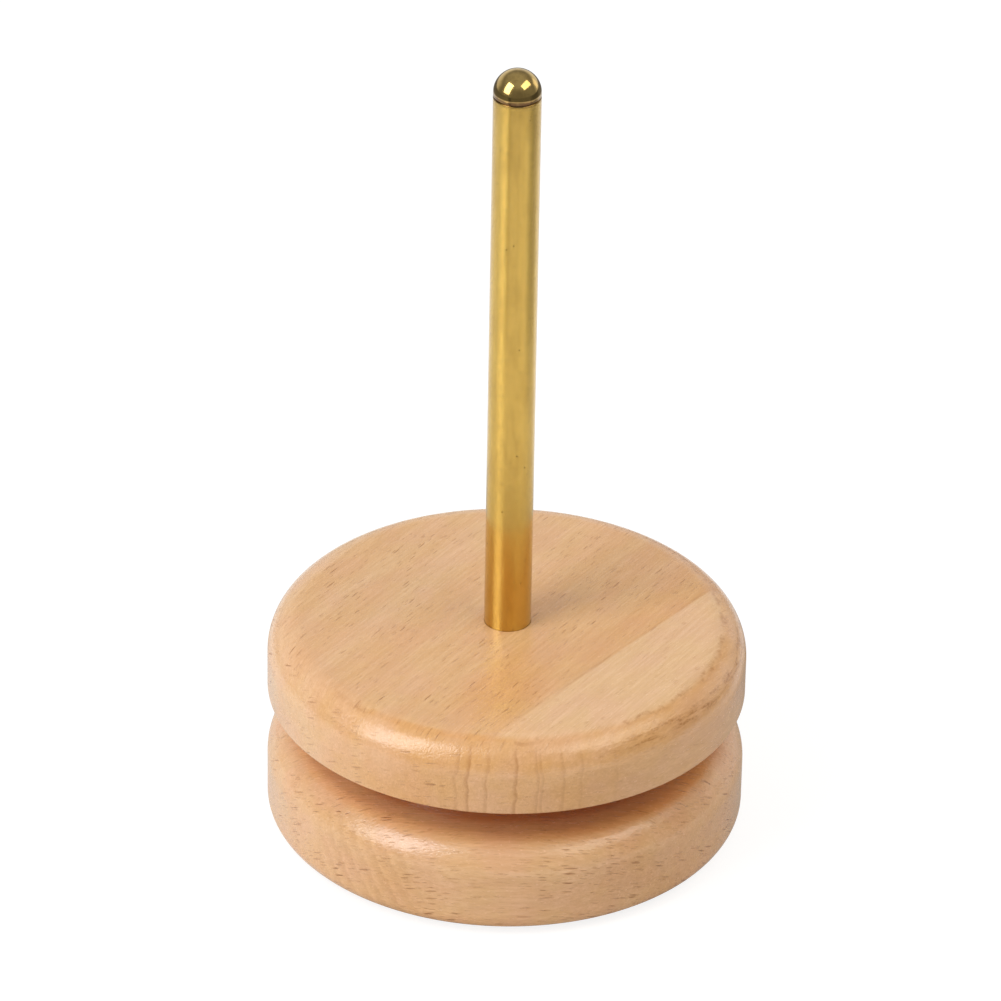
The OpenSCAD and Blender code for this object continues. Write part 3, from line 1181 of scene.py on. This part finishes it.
@dataclass
class Turntable:
    """The beech turntable with the screws that hold it."""

    top_r: float = 7.5 * MM
    bottom_r: float = 0.5 * MM
    support: float = 0.4 * MM
    sides: int = 288
    top_arc_steps: int = 32
    bottom_arc_steps: int = 6
    seat: float = 0.05 * MM
    end_gap: float = 0.3 * MM
    clamp_r: float = 2.7 * MM
    screw_r: float = 1.75 * MM
    screw_head_r: float = 3.325 * MM

    def __post_init__(self) -> None:
        """Reads the place of the disc."""
        self.low, self.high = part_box("turntable_disc")

    def build(self) -> None:
        """Builds the turntable and dresses its screws."""
        self.build_disc()
        dress(["turntable_screws", "clamp_screw", "clamp_washer"], ZINC_STEEL.material())

    def screw_bores(self, blank: Blank) -> list[Ring]:
        """Bores the blind hole of each screw.

        Args:
            blank: The disc's mesh.

        Returns:
            The mouths.
        """
        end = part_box("turntable_screws")[1]
        radius = self.screw_r + self.seat
        steps = [(radius, self.low.z), (radius, end.z + self.seat)]
        return [blank.bore(at, steps, True)[0] for at in crosswise(end.x - self.screw_head_r)]

    def build_disc(self) -> None:
        """Builds the beech disc with the socket of the spindle."""
        radius, low, high = self.high.x, self.low.z, self.high.z
        under = self.bottom_r
        tube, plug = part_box("spindle_tube"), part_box("thread_plug")
        mouth, mouth_end = tube[1].x + self.seat, tube[0].z
        socket, socket_end = plug[1].x + self.seat, plug[0].z - self.end_gap
        outline = Outline().to(radius - under - self.support, low)
        outline.arc((radius - under, low + under), under, -90, 0, self.bottom_arc_steps)
        outline.arc((radius - self.top_r, high - self.top_r), self.top_r, 0, 90, self.top_arc_steps)
        outline.to(radius - self.top_r - self.support, high).to(mouth, high).to(mouth, mouth_end)
        outline.to(socket, mouth_end).to(socket, socket_end)
        outline.to(self.clamp_r, socket_end).to(self.clamp_r, low)
        blank = Blank(self.sides)
        rings = blank.turn(outline.points)
        blank.plate([rings[0], rings[-1], *self.screw_bores(blank)])
        beech = TURNTABLE_BEECH.material()
        blank.finish("turntable_block", Body.TURNTABLE, beech, "turntable_disc")


@dataclass
class Spindle:
    """The brass tube with its domed cap and the plug in its lower end."""

    wall: float = 1.0 * MM
    neck_cut: float = 0.5 * MM
    edge: float = 0.12 * MM
    groove_h: float = 0.3 * MM
    groove_depth: float = 0.3 * MM
    rim_edge: float = 0.1 * MM
    line_depth: float = 0.03 * MM
    line_end: float = 1.5
    sides: int = 160
    dome_steps: int = 40

    def build(self) -> None:
        """Builds the tube and the cap, and dresses the plug."""
        self.build_tube()
        self.build_cap()

    def build_tube(self) -> None:
        """Builds the tube with a thinner neck in the turntable and a small bevel at its top."""
        low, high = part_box("spindle_tube")
        outer, inner, neck = high.x, high.x - self.wall, high.x - self.neck_cut
        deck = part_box("turntable_disc")[1].z
        outline = Outline().to(inner, low.z).to(neck, low.z).to(neck, deck).to(outer, deck)
        outline.to(outer, high.z - self.edge).to(outer - self.edge, high.z).to(inner, high.z)
        blank = Blank(self.sides)
        blank.turn(outline.points, closed=True)
        blank.finish("brass_tube", Body.TURNTABLE, SATIN_BRASS.material(), "spindle_tube")

    def build_cap(self) -> None:
        """Builds the cap with its spigot, groove, rim and dome, and dresses the plug like it."""
        low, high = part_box("dome_cap")
        radius = high.x
        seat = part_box("spindle_tube")[1].z
        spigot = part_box("thread_plug")[1].x
        groove, rim = radius - self.groove_depth, seat + self.groove_h
        dome = high.z - radius
        outline = Outline().to(0.0, low.z).to(spigot, low.z).to(spigot, seat)
        outline.to(groove, seat).to(groove, rim)
        outline.to(radius - self.rim_edge, rim).to(radius, rim + self.rim_edge)
        outline.to(radius, dome - self.line_depth).to(radius - self.line_depth, dome)
        outline.arc((0.0, dome), radius, self.line_end, 90, self.dome_steps)
        blank = Blank(self.sides)
        blank.turn(outline.points)
        brass = POLISHED_BRASS.material()
        blank.finish("brass_dome", Body.TURNTABLE, brass, "dome_cap")
        dress(["thread_plug"], brass)


# Studio


@dataclass(frozen=True)
class Softbox:
    """A rectangular soft light that looks at the object."""

    name: str
    place: Triple
    size: Point
    watts: float
    tint: Triple = (1.0, 1.0, 1.0)

    def build(self, target: Vector) -> None:
        """Hangs the light.

        Args:
            target: What it looks at.
        """
        lamp = bpy.data.lights.new(self.name, "AREA")
        lamp.shape = "RECTANGLE"
        lamp.size, lamp.size_y = self.size
        lamp.energy = self.watts
        lamp.color = self.tint
        light = bpy.data.objects.new(self.name, lamp)
        bpy.context.scene.collection.objects.link(light)
        place = Vector(self.place)
        turn = (target - place).to_track_quat("-Z", "Y").to_matrix().to_4x4()
        light.matrix_world = Matrix.Translation(place) @ turn
        LOG.info("%s: %.1f W", self.name, self.watts)


@dataclass(frozen=True)
class PhotoCamera:
    """The camera at the photograph's angle; a long lens from above the front."""

    place: Triple = (-0.00006, -1.28938, 0.8513)
    tilt: float = 0.54119
    turn: float = 0.00146
    roll: float = 0.01811
    focal_px: float = 7150.1
    sensor: float = 36.0
    clip_end: float = 20.0

    def build(self) -> None:
        """Adds the camera and makes it the scene's own."""
        data = bpy.data.cameras.new("photo_camera")
        data.sensor_width = self.sensor
        data.lens = self.focal_px * self.sensor / FRAME_PX
        data.clip_end = self.clip_end
        camera = bpy.data.objects.new("photo_camera", data)
        bpy.context.scene.collection.objects.link(camera)
        swing = Matrix.Rotation(self.turn, 4, "Z")
        nod = Matrix.Rotation(math.pi / 2 - self.tilt, 4, "X")
        lean = Matrix.Rotation(self.roll, 4, "Z")
        camera.matrix_world = Matrix.Translation(Vector(self.place)) @ swing @ nod @ lean
        bpy.context.scene.camera = camera


@dataclass
class Studio:
    """A pale floor, which metal sees with painted shade and a painted dark line, a white backdrop and soft
    lights.

    The floor's ramps run over the distance from the object in metres, or over the side on which a point of
    the floor lies, from -1 on the left to 1 on the right; the painted dark line's end runs over the depth,
    and its width over the distance from the side where it lies. The world's ramps run over the parts of a
    direction.
    """

    target_share: float = 1 / 3
    floor_size: float = 6.0
    floor_tone: float = 0.86
    paper_tone: float = 0.26
    paper_lift: float = 0.85
    # These ramps paint the floor's reflection in metal: brighter beside the object, with painted shade near
    # it, far away and on its shaded side
    left_sheet: Ramp = Ramp(-0.9, -0.4, 0.72, 0.22)
    right_sheet: Ramp = Ramp(0.5, 0.95, 0, 0.42)
    near_sheet: Ramp = Ramp(0.10, 0.16)
    far_sheet: Ramp = Ramp(0.29, 0.45, 1, 0.15)
    close_by: Ramp = Ramp(0.17, 0.27, 1, 0)
    shaded_side: Ramp = Ramp(0.86, 0.97, 1, 0.52)
    # Painted dark line in the floor as metal sees it
    seam_side: float = -0.57
    seam_width: Ramp = Ramp(0.04, 0.12, 0.4, 1)
    seam_end: Ramp = Ramp(0, 0.01)
    room: float = 0.27
    backdrop: float = 0.95
    backdrop_rear: Ramp = Ramp(0, 0.6)
    backdrop_height: Ramp = Ramp(0.25, 0.6, 1, 0)
    ceiling: Ramp = Ramp(0.45, 0.9, 0, 0.2)
    depth_fill: Ramp = Ramp(0, 0.6, 0.17, 0.45)
    left_fill: Ramp = Ramp(-0.8, -0.3, 0.29, 0)
    right_fill: Ramp = Ramp(0.3, 0.8, 0, 0.10)
    top_fill: Ramp = Ramp(0.55, 0.9, 0, 0.63)
    boxes: tuple[Softbox, ...] = (
        Softbox("key_softbox", (-0.68, -0.48, 0.70), (0.56, 0.86), 6.2),
        Softbox("right_softbox", (0.62, -0.28, 0.92), (0.85, 0.45), 2.5, (1.0, 0.93, 0.79)),
        Softbox("back_softbox", (0.85, 0.50, 0.42), (0.42, 0.42), 0.3, (1.0, 0.93, 0.84)),
    )

    def build(self) -> None:
        """Builds the floor, the world and the lights."""
        self.build_floor()
        self.build_world()
        low, high = CAD_BOX
        target = Vector((0.0, 0.0, (low[2] + high[2]) * self.target_share))
        for box in self.boxes:
            box.build(target)

    def sheet(self, paper: Surface) -> Wire:
        """How white the floor is in metal, as a painted reflection: painted shade near the object, on its
        shaded side and far away, and a painted dark line on the left front.

        Args:
            paper: The floor's material.

        Returns:
            The share of white.
        """
        place = paper.places["Object"]
        far = paper.length(place)
        x, y, _ = place.parts()
        side = x / far
        beside = side.step(self.left_sheet) | side.step(self.right_sheet)
        near = paper.mix(far.step(self.near_sheet), beside, 1.0, Mixed.VALUE)
        close_by = far.step(self.close_by)
        # Painted dark line in the floor's reflection, only in front and away from the object
        painted_line = abs(side - self.seam_side).step(self.seam_width) | y.step(self.seam_end) | close_by
        return near * far.step(self.far_sheet) * (side.step(self.shaded_side) | close_by) * painted_line

    def build_floor(self) -> None:
        """Lays the floor, which keeps the object's shadow: white to the eye, and in metal white with painted
        shade and a painted dark line.
        """
        data = bpy.data.meshes.new("floor")
        half = self.floor_size / 2
        corners = [(-half, -half, 0.0), (half, -half, 0.0), (half, half, 0.0), (-half, half, 0.0)]
        data.from_pydata(corners, [], [(0, 1, 2, 3)])
        floor = bpy.data.objects.new("floor", data)
        bpy.context.scene.collection.objects.link(floor)
        paper = Surface("floor_paper")
        path = paper.add("ShaderNodeLightPath")
        camera = path["Is Camera Ray"]
        white = paper.mix(camera, self.sheet(paper), 1.0, Mixed.VALUE)
        seen = camera | path["Is Glossy Ray"] | path["Is Transmission Ray"]
        tone = paper.mix(seen, self.floor_tone, white * self.paper_tone, Mixed.VALUE)
        grey = paper.add("ShaderNodeCombineColor", {0: tone, 1: tone, 2: tone})[0]
        matt = paper.add("ShaderNodeBsdfDiffuse", {"Color": grey})[0]
        glow = paper.add("ShaderNodeEmission", {"Strength": seen * white * self.paper_lift})[0]
        both = paper.add("ShaderNodeAddShader", {0: matt, 1: glow})[0]
        paper.add("ShaderNodeOutputMaterial", {"Surface": both})
        data.materials.append(paper.material)

    def build_world(self) -> None:
        """Sets a white backdrop, which metal sees low behind the object in a dim room, and soft fill."""
        world = bpy.data.worlds.new("studio")
        world.use_nodes = True
        graph = Graph(world.node_tree)
        path = graph.add("ShaderNodeLightPath")
        x, y, z = graph.add("ShaderNodeTexCoord")["Generated"].parts()
        behind = y.step(self.backdrop_rear) * z.step(self.backdrop_height)
        mirrored = graph.mix(behind, self.room, self.backdrop, Mixed.VALUE) + z.step(self.ceiling)
        soft = y.step(self.depth_fill) + x.step(self.left_fill) + x.step(self.right_fill)
        soft += z.step(self.top_fill)
        mirror = path["Is Glossy Ray"] | path["Is Transmission Ray"]
        level = graph.mix(mirror, soft, mirrored, Mixed.VALUE)
        level = graph.mix(path["Is Camera Ray"], level, 1.0, Mixed.VALUE)
        sky = graph.add("ShaderNodeBackground", {"Strength": level})[0]
        graph.add("ShaderNodeOutputWorld", {"Surface": sky})
        bpy.context.scene.world = world


def main() -> None:
    """Builds the camera, the studio and the sub-assemblies in order."""
    logging.basicConfig(level=logging.INFO, format="%(message)s")
    bpy.context.scene.view_settings.view_transform = "Standard"
    PhotoCamera().build()
    Studio().build()
    for assembly in (BaseAssembly(), Bearing(), Turntable(), Spindle()):
        assembly.build()


if __name__ == "__main__":
    main()
